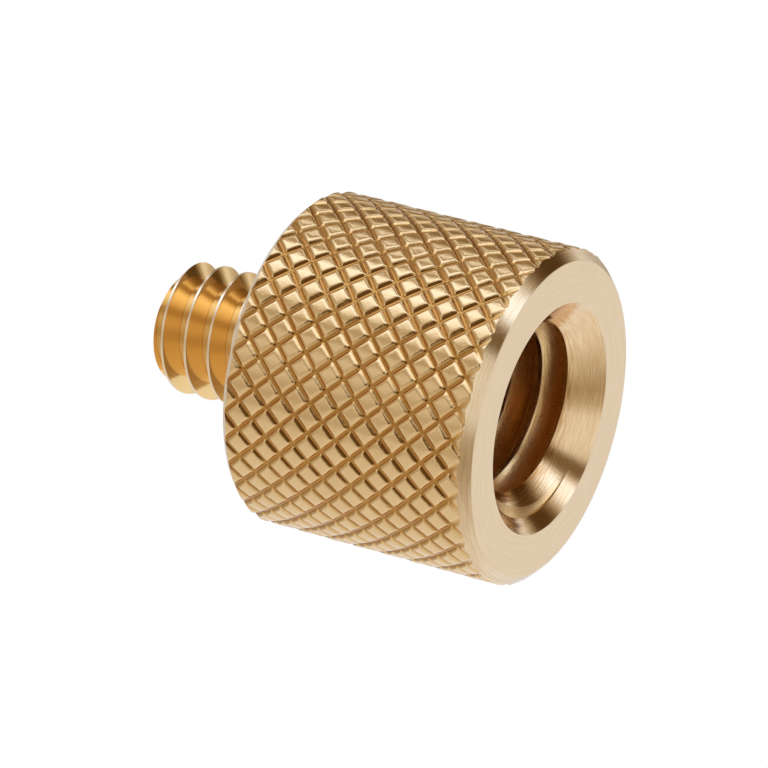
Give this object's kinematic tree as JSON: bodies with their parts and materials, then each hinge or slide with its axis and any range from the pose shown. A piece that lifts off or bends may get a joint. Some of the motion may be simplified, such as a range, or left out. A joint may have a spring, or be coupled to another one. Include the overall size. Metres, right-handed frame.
{
  "type": "tripod thread adapter",
  "caption": "Turned brass adapter: knurled round head with a countersunk threaded socket in one end and a smaller threaded stud on the other.",
  "frame": {"origin": "centre of the head's flat end face, the one with the socket, on which the part stands", "axes": "+Z along the turning axis, from the socket end towards the stud; +X goes through a place where two knurl grooves cross"},
  "size_m": [0.016, 0.016, 0.02],
  "materials": {
    "brass": "bright turned"
  },
  "bodies": {
    "root": {"thread_adapter": "brass"}
  },
  "joints": []
}
